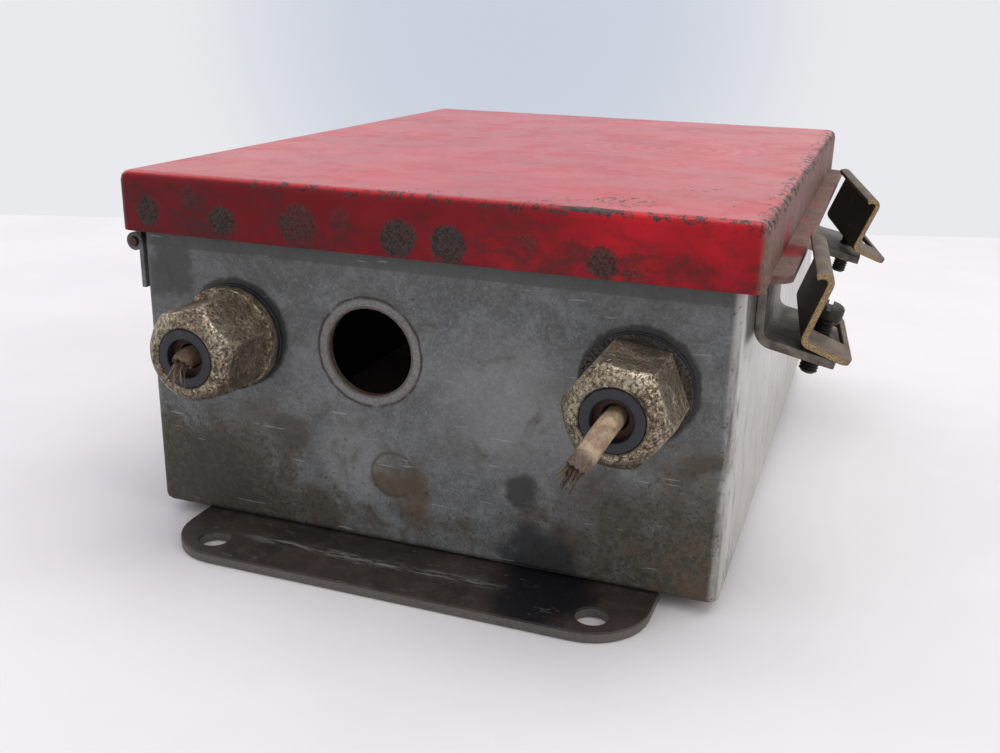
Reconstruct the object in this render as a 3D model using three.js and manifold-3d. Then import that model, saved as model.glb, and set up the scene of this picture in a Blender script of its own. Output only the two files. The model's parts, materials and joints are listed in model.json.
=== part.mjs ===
// A sheet-steel control enclosure lying on its back: an eight by six inch box with welded mounting feet,
// a hinged gasketed lid, two screw clamps that hook over the lid's lip, two cable glands and an open
// conduit hole in one end wall, and a sub-panel with a terminal block inside.
//
// Millimetres. +Z points out of the back of the box towards the lid, +Y runs along the length and the
// cable entries are in the -Y end wall. The hinge is on the -X side and the clamps are on the +X side.
// The origin is the centre of the outside of the back.
import * as THREE from 'three';
import { mergeVertices } from 'three/addons/utils/BufferGeometryUtils.js';
import Module from 'manifold-3d';

const wasm = await Module();
wasm.setup();

// ---- driving dimensions ----
const bodyWidth = 154.7;
const bodyLength = 203.2;
const bodyHeight = 87;
const wall = 1.9;
const cornerRadius = 2.8;
const backEdgeRadius = 2.1;

const lidOverhang = 3.5;
const lidTop = 91.8;
const lidSkirt = 15.2;
const lidCornerRadius = 2.6;
const lidEdgeRadius = 2.5;
const lipWidth = 4.6;
const lipLength = 186;
const lipCorner = 4.4;
const gasketWidth = 7;
const gasketGap = 0.3;

const hingeX = -80.1;
const hingeZ = 72.9;
const hingeLength = 202.4;
const knuckleCount = 8;
const knuckleRadius = 2.4;
const knuckleGap = 0.4;
const pinRadius = 1.2;
const pinClearance = 0.15;
const leafThickness = 1.2;
const leafWidth = 12;

const footOffset = 0;
const footWidth = 126;
const footReach = 22.4;
const footOverlap = 24;
const footThickness = 2.7;
const footCorner = 15;
const footHoleSpacing = 101.6;
const footHoleRadius = 3.97;
const footHoleInset = 7.8;

const entryHeight = 51.3;
const leftGlandX = -50.45;
const rightGlandX = 54.55;
const openHoleX = -12.45;
const openHoleRadius = 11.2;
const glandHoleRadius = 10.6;

const glandThreadRadius = 10;
const glandFlangeRadius = 13.4;
const glandFront = 22.4;
const glandRingRadius = 7.3;
const glandMouthRadius = 4.8;
const nutAcrossFlats = 22.4;
const nutDome = 5.2;
const cableRadius = 2.6;

const clampOffsetY = 67;
const clampFarOffsetY = 52;
const bracketLength = 34;
const bracketThickness = 2.3;
const bracketTop = 76.2;
const bracketSlope = THREE.MathUtils.degToRad(12);
const bracketReach = 96.15;
const legHeightAtWall = 61.7;
const legReferenceX = 79.85;
const clampThickness = 1.6;
const clampLength = 31;
const slotWidth = 7.5;
const slotLength = 14;
const slotAcross = 7.6;
const slotAlong = 17.5;
const screwX = 91.35;
const screwRadius = 2.3;
const screwHole = 2.6;
const headRadius = 3.6;
const headHeight = 3.8;
const frontHeadLift = 4.6;
const rearHeadLift = 6.6;
const screwBelow = 9.8;

const panelWidth = 124;
const panelLength = 172;
const panelThickness = 1.9;
const studHeight = 16;
const studRadius = 2.4;
const shoulderRadius = 4;
const shoulderHeight = 8;
const studInset = 7.5;

const poles = 4;
const polePitch = 11;
const blockWidth = 22;
const blockHeight = 9;
const blockY = -20;
const finHeight = 14;
const finThickness = 1.6;
const terminalOffset = 6.2;

const seat = 0.05;
const fit = 0.3;
const ROUND = 28;
const SMALL = 14;

// ---- materials ----
function finish(color, roughness, metalness) {
  return new THREE.MeshStandardMaterial({ color, roughness, metalness });
}
const redPaint = finish(0xb02a38, 0.4, 0.1);
const greyPaint = finish(0x6f746c, 0.55, 0.25);
const brownPaint = finish(0x5a4c46, 0.6, 0.3);
const plainSteel = finish(0x8d8a80, 0.45, 0.8);
const rustySteel = finish(0x6d5c4a, 0.7, 0.5);
const blackSteel = finish(0x1e1f22, 0.5, 0.6);
const platedBrass = finish(0x8f836e, 0.5, 0.7);
const blackRubber = finish(0x23262d, 0.7, 0);
const brownRubber = finish(0x4a2620, 0.8, 0);
const greyJacket = finish(0x9a8f83, 0.6, 0);
const whitePaint = finish(0xd9d8d0, 0.5, 0.1);
const blackPlastic = finish(0x1b1b1c, 0.4, 0);
const copper = finish(0xa8694a, 0.4, 0.9);

// ---- solids ----
function solid(geometry) {
  const bare = geometry.index ? geometry.toNonIndexed() : geometry.clone();
  bare.deleteAttribute('normal');
  bare.deleteAttribute('uv');
  const merged = mergeVertices(bare, 1e-5);
  return new wasm.Manifold(new wasm.Mesh({
    numProp: 3,
    vertProperties: new Float32Array(merged.attributes.position.array),
    triVerts: new Uint32Array(merged.index.array),
  }));
}

function geometryOf(body) {
  const mesh = body.getMesh();
  const geometry = new THREE.BufferGeometry();
  geometry.setAttribute('position', new THREE.BufferAttribute(mesh.vertProperties, 3));
  geometry.setIndex(new THREE.BufferAttribute(mesh.triVerts, 1));
  geometry.computeVertexNormals();
  return geometry;
}

function piece(name, body, material) {
  const mesh = new THREE.Mesh(geometryOf(body), material);
  mesh.name = name;
  return mesh;
}

function block(x0, x1, y0, y1, z0, z1) {
  const geometry = new THREE.BoxGeometry(x1 - x0, y1 - y0, z1 - z0);
  geometry.translate((x0 + x1) / 2, (y0 + y1) / 2, (z0 + z1) / 2);
  return solid(geometry);
}

function roundedOutline(width, length, radius) {
  const x = width / 2;
  const y = length / 2;
  const shape = new THREE.Shape();
  shape.moveTo(x, -y + radius);
  shape.lineTo(x, y - radius);
  shape.absarc(x - radius, y - radius, radius, 0, Math.PI / 2);
  shape.lineTo(-x + radius, y);
  shape.absarc(-x + radius, y - radius, radius, Math.PI / 2, Math.PI);
  shape.lineTo(-x, -y + radius);
  shape.absarc(-x + radius, -y + radius, radius, Math.PI, 1.5 * Math.PI);
  shape.lineTo(x - radius, -y);
  shape.absarc(x - radius, -y + radius, radius, 1.5 * Math.PI, 2 * Math.PI);
  return shape;
}

function plate(outline, z0, z1, curveSegments = 4) {
  const geometry = new THREE.ExtrudeGeometry(outline, { depth: z1 - z0, bevelEnabled: false, curveSegments });
  geometry.translate(0, 0, z0);
  return solid(geometry);
}

// A rounded block whose edges at both ends are rounded by the same radius.
function softBlock(width, length, cornerR, edgeR, z0, z1) {
  const outline = roundedOutline(width - 2 * edgeR, length - 2 * edgeR, Math.max(cornerR - edgeR, 0.3));
  const geometry = new THREE.ExtrudeGeometry(outline, {
    depth: z1 - z0 - 2 * edgeR,
    bevelEnabled: true,
    bevelThickness: edgeR,
    bevelSize: edgeR,
    bevelSegments: 3,
    curveSegments: 3,
  });
  geometry.translate(0, 0, z0 + edgeR);
  return solid(geometry);
}

// A turned body about +Z from a closed list of [radius, height] corners.
function turned(corners, segments = ROUND) {
  const profile = corners.map(([radius, height]) => new THREE.Vector2(radius, height));
  profile.push(profile[0].clone());
  const geometry = new THREE.LatheGeometry(profile, segments);
  geometry.rotateX(Math.PI / 2);
  return solid(geometry);
}

function tube(outer, inner, z0, z1, segments = ROUND) {
  return turned([[inner, z0], [outer, z0], [outer, z1], [inner, z1]], segments);
}

function rod(radius, z0, z1, segments = ROUND) {
  const geometry = new THREE.CylinderGeometry(radius, radius, z1 - z0, segments);
  geometry.rotateX(Math.PI / 2);
  geometry.translate(0, 0, (z0 + z1) / 2);
  return solid(geometry);
}

function hexagon(acrossFlats, z0, z1) {
  const geometry = new THREE.CylinderGeometry(
    acrossFlats / Math.sqrt(3), acrossFlats / Math.sqrt(3), z1 - z0, 6);
  geometry.rotateX(Math.PI / 2);
  geometry.translate(0, 0, (z0 + z1) / 2);
  return solid(geometry);
}

function hexNut(acrossFlats, hole, z0, z1) {
  return hexagon(acrossFlats, z0, z1).subtract(rod(hole, z0 - 1, z1 + 1, SMALL));
}

// Places a body made about +Z so that its +Z points along -Y, at the given entry.
function outwardAt(body, x, z) {
  return body.rotate([90, 0, 0]).translate([x, -bodyLength / 2, z]);
}

// The outline of a bent strip: its centreline's corners are rounded, then offset to both sides.
function bentStrip(corners, thickness, bendRadius) {
  const points = corners.map(([x, z]) => new THREE.Vector2(x, z));
  const centre = [points[0]];
  const headings = [points[1].clone().sub(points[0]).normalize()];
  for (let i = 1; i < points.length - 1; i += 1) {
    const before = points[i].clone().sub(points[i - 1]).normalize();
    const after = points[i + 1].clone().sub(points[i]).normalize();
    const turn = Math.atan2(before.cross(after), before.dot(after));
    const run = bendRadius * Math.tan(Math.abs(turn) / 2);
    const side = new THREE.Vector2(-before.y, before.x).multiplyScalar(Math.sign(turn) * bendRadius);
    const start = points[i].clone().addScaledVector(before, -run);
    const pivot = start.clone().add(side);
    const steps = 6;
    for (let k = 0; k <= steps; k += 1) {
      const angle = (turn * k) / steps;
      centre.push(start.clone().rotateAround(pivot, angle));
      headings.push(before.clone().rotateAround(new THREE.Vector2(), angle));
    }
  }
  centre.push(points[points.length - 1]);
  headings.push(points[points.length - 1].clone().sub(points[points.length - 2]).normalize());
  const offset = (sign) => centre.map((point, i) => new THREE.Vector2(
    point.x - (sign * headings[i].y * thickness) / 2,
    point.y + (sign * headings[i].x * thickness) / 2,
  ));
  return new THREE.Shape([...offset(-1), ...offset(1).reverse()]);
}

// Extrudes an outline drawn in X and Z along +Y from y0 to y1.
function alongY(outline, y0, y1, curveSegments = 4) {
  const geometry = new THREE.ExtrudeGeometry(outline, { depth: y1 - y0, bevelEnabled: false, curveSegments });
  geometry.rotateX(Math.PI / 2);
  geometry.translate(0, y1, 0);
  return solid(geometry);
}

// ---- enclosure ----
function caseBody() {
  const outer = softBlock(bodyWidth, bodyLength, cornerRadius, backEdgeRadius, 0, bodyHeight + 10);
  const inner = softBlock(
    bodyWidth - 2 * wall, bodyLength - 2 * wall, cornerRadius - wall, backEdgeRadius - wall,
    wall, bodyHeight + 10);
  const above = block(-bodyWidth, bodyWidth, -bodyLength, bodyLength, bodyHeight, bodyHeight + 20);
  let shell = outer.subtract(inner).subtract(above);
  const entries = [
    [leftGlandX, glandHoleRadius], [rightGlandX, glandHoleRadius], [openHoleX, openHoleRadius]];
  for (const [x, radius] of entries) {
    shell = shell.subtract(outwardAt(rod(radius, -wall - 3, 5), x, entryHeight));
  }
  return piece('case_body', shell, greyPaint);
}

function foot(name, end) {
  const length = footReach + footOverlap;
  const strap = plate(roundedOutline(footWidth, length, footCorner), -footThickness, 0);
  const squareInner = block(
    -footWidth / 2, footWidth / 2, length / 2 - footCorner, length / 2, -footThickness, 0);
  let body = strap.add(squareInner);
  for (const side of [-1, 1]) {
    const hole = rod(footHoleRadius, -footThickness - 1, 1, 20);
    body = body.subtract(hole.translate([(side * footHoleSpacing) / 2, -length / 2 + footHoleInset, 0]));
  }
  const outward = body.translate([0, -bodyLength / 2 - footReach + length / 2, 0]);
  const placed = end < 0 ? outward : outward.rotate([0, 0, 180]);
  return piece(name, placed.translate([footOffset, 0, 0]), brownPaint);
}

function lidPan() {
  const width = bodyWidth + 2 * lidOverhang;
  const length = bodyLength + 2 * lidOverhang;
  const skirtBottom = lidTop - lidSkirt;
  const outer = softBlock(width, length, lidCornerRadius, lidEdgeRadius, skirtBottom - 10, lidTop);
  const inner = softBlock(
    width - 2 * wall, length - 2 * wall, lidCornerRadius - wall, lidEdgeRadius - wall,
    skirtBottom - 10, lidTop - wall);
  const below = block(-width, width, -length, length, skirtBottom - 20, skirtBottom);
  const lipOutline = roundedOutline(2 * lipWidth + 2, lipLength, lipCorner);
  const lip = plate(lipOutline, skirtBottom, skirtBottom + wall)
    .translate([width / 2 - 1, 0, 0])
    .subtract(block(0, width / 2 - 0.5, -length, length, skirtBottom - 1, skirtBottom + wall + 1));
  return piece('lid', outer.subtract(inner).subtract(below).add(lip), redPaint);
}

function lidGasket() {
  const outline = roundedOutline(bodyWidth - 0.6, bodyLength - 0.6, cornerRadius);
  const hole = roundedOutline(bodyWidth - 0.6 - 2 * gasketWidth, bodyLength - 0.6 - 2 * gasketWidth, 2);
  outline.holes.push(hole);
  return piece('lid_gasket', plate(outline, bodyHeight + gasketGap, lidTop - wall), blackRubber);
}

// One leaf of the long hinge with every second knuckle.
function hingeLeaf(name, first, leaf, material) {
  const pitch = hingeLength / knuckleCount;
  let body = leaf;
  for (let i = 0; i < knuckleCount; i += 1) {
    const start = -hingeLength / 2 + i * pitch;
    const barrel = rod(knuckleRadius, 0, pitch - knuckleGap, 24);
    const placed = barrel.rotate([-90, 0, 0]).translate([hingeX, start + knuckleGap / 2, hingeZ]);
    if (i % 2 === first) {
      body = body.add(placed);
    } else {
      const room = rod(knuckleRadius + fit, -knuckleGap / 2, pitch - knuckleGap / 2, 24);
      body = body.subtract(room.rotate([-90, 0, 0]).translate([hingeX, start + knuckleGap / 2, hingeZ]));
    }
  }
  const bore = rod(pinRadius + pinClearance, -hingeLength, hingeLength, 24).rotate([-90, 0, 0]);
  return piece(name, body.subtract(bore.translate([hingeX, 0, hingeZ])), material);
}

function hingeParts() {
  const half = hingeLength / 2;
  const wallFace = -bodyWidth / 2 - seat;
  const bodyLeaf = block(wallFace - leafThickness, wallFace, -half, half, hingeZ - leafWidth, hingeZ);
  const skirtFace = -bodyWidth / 2 - lidOverhang + wall + seat;
  const lidLeaf = block(skirtFace, skirtFace + leafThickness, -half, half, hingeZ, hingeZ + leafWidth);
  const pin = rod(pinRadius, -half - 0.6, half + 0.6, 24).rotate([-90, 0, 0]);
  return {
    fixed: [
      hingeLeaf('hinge_leaf_body', 0, bodyLeaf, plainSteel),
      piece('hinge_pin', pin.translate([hingeX, 0, hingeZ]), plainSteel),
    ],
    moving: [hingeLeaf('hinge_leaf_lid', 1, lidLeaf, plainSteel)],
  };
}

// ---- lid clamps ----
function legHeight(x) {
  return legHeightAtWall - (x - legReferenceX) * Math.tan(bracketSlope);
}

function clampBracket(name, y) {
  const middleX = bodyWidth / 2 + seat + bracketThickness / 2;
  const cornerZ = legHeight(middleX) - bracketThickness / 2 / Math.cos(bracketSlope);
  const endZ = cornerZ - (bracketReach - middleX) * Math.tan(bracketSlope);
  const outline = bentStrip(
    [[middleX, bracketTop], [middleX, cornerZ], [bracketReach, endZ]], bracketThickness, 3.6);
  const hole = rod(screwHole, -20, 20, SMALL)
    .rotate([0, THREE.MathUtils.radToDeg(bracketSlope), 0])
    .translate([screwX, y, legHeight(screwX)]);
  const strap = alongY(outline, y - bracketLength / 2, y + bracketLength / 2);
  return piece(name, strap.subtract(hole), plainSteel);
}

// A Z-shaped clamp drawn with its tongue flat along +X and its near end at y = 0.
function clampPlate(name) {
  const profile = bentStrip([[13, 0.8], [0.74, 0.8], [-0.69, 18.55], [-4.05, 15.73]], clampThickness, 1.7);
  const strip = alongY(profile, 0, clampLength);
  const corner = 3.5;
  const plan = plate(roundedOutline(40, clampLength, corner), -5, 12).translate([-7, clampLength / 2, 0]);
  const upper = block(-20, 20, -1, clampLength + 1, 4, 30);
  const slot = block(
    slotAcross - slotWidth / 2, slotAcross + slotWidth / 2,
    slotAlong - slotLength / 2, slotAlong + slotLength / 2, -2, 4);
  return piece(name, strip.intersect(plan.add(upper)).subtract(slot), rustySteel);
}

// The clamp seated over the lip, then swung out about one slanted axis beside its screw.
function seatedThenSwung(mesh, seated, lean, pivot, axis, angle) {
  const swing = new THREE.Group();
  swing.position.set(...pivot);
  swing.quaternion.setFromAxisAngle(new THREE.Vector3(...axis).normalize(), THREE.MathUtils.degToRad(angle));
  const home = new THREE.Group();
  home.position.set(seated[0] - pivot[0], seated[1] - pivot[1], seated[2] - pivot[2]);
  home.rotation.y = THREE.MathUtils.degToRad(lean);
  home.add(mesh);
  swing.add(home);
  return swing;
}

function clampScrew(name, y, headLift) {
  const head = turned([
    [0, headLift], [headRadius, headLift], [headRadius, headLift + headHeight - 0.9],
    [headRadius - 0.9, headLift + headHeight], [0, headLift + headHeight]], 28);
  const shank = rod(screwRadius, -screwBelow, headLift + 0.5, SMALL);
  const groove = block(-headRadius - 1, headRadius + 1, -0.6, 0.6, headLift + headHeight - 1.4, 20);
  const mesh = piece(name, head.add(shank).subtract(groove), blackSteel);
  mesh.rotation.y = bracketSlope;
  mesh.position.set(screwX, y, legHeight(screwX));
  return mesh;
}

function clampSet() {
  const parts = new THREE.Group();
  parts.add(clampBracket('front_clamp_bracket', -clampOffsetY));
  parts.add(clampBracket('rear_clamp_bracket', clampFarOffsetY));
  parts.add(clampScrew('front_clamp_screw', -clampOffsetY, frontHeadLift));
  parts.add(clampScrew('rear_clamp_screw', clampFarOffsetY, rearHeadLift));
  parts.add(seatedThenSwung(
    clampPlate('front_clamp'), [83.6, -87.48, 63.96], 16.58,
    [90.63, -61.43, 59.3], [0.438, 0.56, 0.7033], 11.34));
  parts.add(seatedThenSwung(
    clampPlate('rear_clamp'), [83.73, 33.06, 64.03], 15.96,
    [95.56, 56.21, 59.3], [0.3566, 0.3537, 0.8647], 24.67));
  return parts;
}

// ---- cable glands ----
function domeNut(hexStart) {
  const corner = nutAcrossFlats / Math.sqrt(3);
  const domeStart = glandFront - nutDome;
  const dome = turned([
    [0, hexStart], [corner + 0.2, hexStart], [corner + 0.2, domeStart + 0.6], [corner - 0.6, domeStart + 2],
    [corner - 2, domeStart + 3.6], [corner - 3.6, domeStart + 4.7], [glandRingRadius + 0.9, glandFront],
    [0, glandFront]], 30);
  return hexagon(nutAcrossFlats, hexStart, glandFront)
    .intersect(dome)
    .subtract(rod(glandThreadRadius + fit, hexStart - 1, domeStart - 0.6))
    .subtract(rod(glandRingRadius + 0.1, 0, glandFront + 1));
}

function locknut() {
  const shape = new THREE.Shape();
  const lugs = 6;
  const steps = 4;
  for (let i = 0; i < lugs * steps; i += 1) {
    const angle = (2 * Math.PI * i) / (lugs * steps);
    const radius = i % steps < 2 ? 15 : 13.2;
    const at = new THREE.Vector2(radius * Math.cos(angle), radius * Math.sin(angle));
    if (i === 0) {
      shape.moveTo(at.x, at.y);
    } else {
      shape.lineTo(at.x, at.y);
    }
  }
  const z1 = -wall - seat;
  return plate(shape, z1 - 3, z1).subtract(rod(glandThreadRadius + 0.15, -wall - 8, 0));
}

// Heights are measured outward from the outside of the end wall.
function gland(side, x, flangeThickness, turn) {
  const washerTop = 1;
  const flangeTop = washerTop + flangeThickness;
  const bodyEnd = 14;
  const body = tube(glandThreadRadius, 5.2, -wall - 8, bodyEnd)
    .add(tube(glandFlangeRadius, 6, washerTop + seat, flangeTop));
  const ringBack = glandFront - 2.4;
  const make = (name, made, material) => piece(
    `${side}_gland_${name}`, outwardAt(made, x, entryHeight), material);
  return [
    make('sealing_washer',
      tube(glandFlangeRadius + 0.3, glandThreadRadius + 0.2, seat, washerTop), blackRubber),
    make('body', body, platedBrass),
    make('locknut', locknut(), plainSteel),
    make('dome_nut', domeNut(flangeTop + seat).rotate([0, 0, turn]), platedBrass),
    make('ring', tube(glandRingRadius, glandMouthRadius, ringBack, glandFront - 0.1), blackRubber),
    make('bush', tube(glandRingRadius - 0.2, cableRadius + 0.3, bodyEnd + 0.3, ringBack - 0.3), brownRubber),
  ];
}

// A cable stub: straight through its gland, then along the given points to its cut end.
function cable(name, points) {
  const corners = points.map((point) => new THREE.Vector3(...point));
  const route = new THREE.CatmullRomCurve3(corners, false, 'centripetal');
  const section = new THREE.Shape();
  const sides = 8;
  for (let i = 0; i <= sides; i += 1) {
    const angle = (2 * Math.PI * i) / sides;
    const at = [cableRadius * Math.cos(angle), cableRadius * Math.sin(angle)];
    if (i === 0) {
      section.moveTo(...at);
    } else {
      section.lineTo(...at);
    }
  }
  const geometry = new THREE.ExtrudeGeometry(section, { steps: 14, extrudePath: route, bevelEnabled: false });
  return piece(name, solid(geometry), greyJacket);
}

function cables() {
  const outer = -bodyLength / 2;
  const inside = outer + 26;
  return [
    cable('left_cable', [
      [leftGlandX, inside, entryHeight], [leftGlandX, outer, entryHeight],
      [leftGlandX, outer - glandFront + 3, entryHeight], [leftGlandX + 0.2, outer - glandFront - 2, 50.4],
      [leftGlandX + 0.4, outer - glandFront - 5.5, 48.6]]),
    cable('right_cable', [
      [rightGlandX, inside, entryHeight], [rightGlandX, outer, entryHeight],
      [rightGlandX, outer - glandFront + 3, entryHeight],
      [rightGlandX - 0.5, outer - glandFront - 2, 50.6],
      [rightGlandX - 2.8, outer - glandFront - 9.5, 46.6],
      [rightGlandX - 5.2, outer - glandFront - 15.5, 42]]),
  ];
}

// ---- inside ----
function panelParts() {
  const bottom = wall + shoulderHeight;
  const outline = roundedOutline(panelWidth, panelLength, 3);
  let panel = plate(outline, bottom + seat, bottom + panelThickness);
  const parts = [];
  const top = bottom + panelThickness + seat;
  let count = 0;
  for (const sx of [-1, 1]) {
    for (const sy of [-1, 1]) {
      count += 1;
      const at = [sx * (panelWidth / 2 - studInset), sy * (panelLength / 2 - studInset), 0];
      const stud = rod(shoulderRadius, wall + seat, bottom, SMALL)
        .add(rod(studRadius, bottom, studHeight + wall, SMALL));
      const nut = hexNut(9, studRadius + 0.1, top, top + 3);
      panel = panel.subtract(rod(studRadius + 0.4, 0, 30, SMALL).translate(at));
      parts.push(piece(`panel_stud_${count}`, stud.translate(at), plainSteel));
      parts.push(piece(`panel_nut_${count}`, nut.translate(at), plainSteel));
    }
  }
  return [piece('sub_panel', panel, whitePaint), ...parts];
}

function terminalParts() {
  const base = wall + shoulderHeight + panelThickness + seat;
  const length = poles * polePitch + finThickness;
  const ear = 9;
  const near = blockY - blockWidth / 2;
  const far = blockY + blockWidth / 2;
  let block0 = block(-length / 2, length / 2, near, far, base, base + blockHeight)
    .add(block(-length / 2 - ear, length / 2 + ear, blockY - 6, blockY + 6, base, base + 4));
  for (let i = 0; i <= poles; i += 1) {
    const x = -length / 2 + i * polePitch;
    block0 = block0.add(block(x, x + finThickness, near, far, base, base + finHeight));
  }
  const parts = [];
  let count = 0;
  for (let i = 0; i < poles; i += 1) {
    for (const row of [-1, 1]) {
      count += 1;
      const at = [-length / 2 + finThickness / 2 + (i + 0.5) * polePitch, blockY + row * terminalOffset, 0];
      block0 = block0.subtract(rod(1.9, base + 3, base + 20, 16).translate(at));
      const z = base + blockHeight + seat;
      const screw = rod(3.2, z, z + 2, SMALL)
        .add(rod(1.7, base + 3.6, z + 1, 16))
        .subtract(block(-4, 4, -0.45, 0.45, z + 1, z + 4));
      parts.push(piece(`terminal_screw_${count}`, screw.translate(at), platedBrass));
    }
  }
  for (const side of [-1, 1]) {
    const at = [side * (length / 2 + 5), blockY, 0];
    block0 = block0.subtract(rod(2.1, base - 1, base + 6, 16).translate(at));
    const z = base + 4 + seat;
    const screw = rod(3.4, z, z + 2.2, SMALL)
      .add(rod(1.8, base + seat, z + 1, 16))
      .subtract(block(-0.5, 0.5, -4, 4, z + 1.2, z + 4));
    const name = side < 0 ? 'block_screw_left' : 'block_screw_right';
    parts.push(piece(name, screw.translate(at), plainSteel));
  }
  return [piece('terminal_block', block0, blackPlastic), ...parts];
}

function groundScrew() {
  const base = wall + shoulderHeight + panelThickness + seat;
  const at = [44, -58, 0];
  const screw = hexagon(8, base, base + 3.4).add(rod(4.9, base, base + 0.9, SMALL));
  return piece('ground_screw', screw.translate(at), copper);
}

// ---- assembly ----
const enclosure = new THREE.Group();
enclosure.add(caseBody(), foot('front_foot', -1), foot('rear_foot', 1));
const lid = new THREE.Group();
lid.add(lidPan(), lidGasket());
const hinge = hingeParts();
enclosure.add(...hinge.fixed);
lid.add(...hinge.moving);
enclosure.add(lid, clampSet());
enclosure.add(...gland('left', leftGlandX, 3.6, 47), ...gland('right', rightGlandX, 0.8, 22));
enclosure.add(...cables(), ...panelParts(), ...terminalParts(), groundScrew());

export default enclosure;
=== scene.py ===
# Looks of the sheet-steel control enclosure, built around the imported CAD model.
# Metres, in the part's frame: +Z from the back to the lid, +Y away from the cable entries, +X to the clamps.
# Lengths named in millimetres are multiplied by MM where they are used.
import json
import math
import random

import bmesh
import bpy
from mathutils import Matrix, Vector


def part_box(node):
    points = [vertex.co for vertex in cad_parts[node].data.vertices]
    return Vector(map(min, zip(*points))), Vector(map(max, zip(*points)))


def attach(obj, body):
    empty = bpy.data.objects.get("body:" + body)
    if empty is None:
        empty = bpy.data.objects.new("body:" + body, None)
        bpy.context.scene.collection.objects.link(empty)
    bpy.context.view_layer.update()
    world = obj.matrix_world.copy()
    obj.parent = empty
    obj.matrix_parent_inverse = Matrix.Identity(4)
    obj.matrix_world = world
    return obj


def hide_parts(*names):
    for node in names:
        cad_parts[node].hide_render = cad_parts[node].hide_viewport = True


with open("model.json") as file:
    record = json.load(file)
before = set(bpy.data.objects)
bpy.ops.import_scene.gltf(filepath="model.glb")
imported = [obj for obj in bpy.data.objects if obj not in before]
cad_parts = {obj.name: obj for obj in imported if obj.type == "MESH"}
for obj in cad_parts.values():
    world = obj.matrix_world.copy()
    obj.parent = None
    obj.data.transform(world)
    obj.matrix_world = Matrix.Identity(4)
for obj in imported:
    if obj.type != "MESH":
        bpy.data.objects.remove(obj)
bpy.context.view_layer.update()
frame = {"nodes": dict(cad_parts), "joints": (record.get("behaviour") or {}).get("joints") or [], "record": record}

MM = 0.001
NODE_BODY = {node: body for body, nodes in frame["record"]["behaviour"]["bodies"].items() for node in nodes}
NODE_SLOT = {part["node"]: part["material_slot"] for part in frame["record"]["subparts"]}
JOINTS = {joint["name"]: joint for joint in frame["joints"]}
FLOOR_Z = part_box("front_foot")[0].z
random.seed(11)


# ---- camera ----
CAMERA_AT = (0.10276, -0.33011, 0.13220)
CAMERA_YAW, CAMERA_PITCH, CAMERA_ROLL = 0.3406, 0.3275, 0.0234
CAMERA_LENS = 38.97
FLOOR_END_AHEAD = 0.704


def make_camera():
    data = bpy.data.cameras.new("camera")
    data.sensor_width = 36
    data.lens = CAMERA_LENS
    data.clip_start = 0.01
    camera = bpy.data.objects.new("camera", data)
    bpy.context.scene.collection.objects.link(camera)
    turn = (Matrix.Rotation(CAMERA_YAW, 4, "Z") @ Matrix.Rotation(math.pi / 2 - CAMERA_PITCH, 4, "X")
            @ Matrix.Rotation(CAMERA_ROLL, 4, "Z"))
    camera.matrix_world = Matrix.Translation(CAMERA_AT) @ turn
    bpy.context.scene.camera = camera


make_camera()


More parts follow.
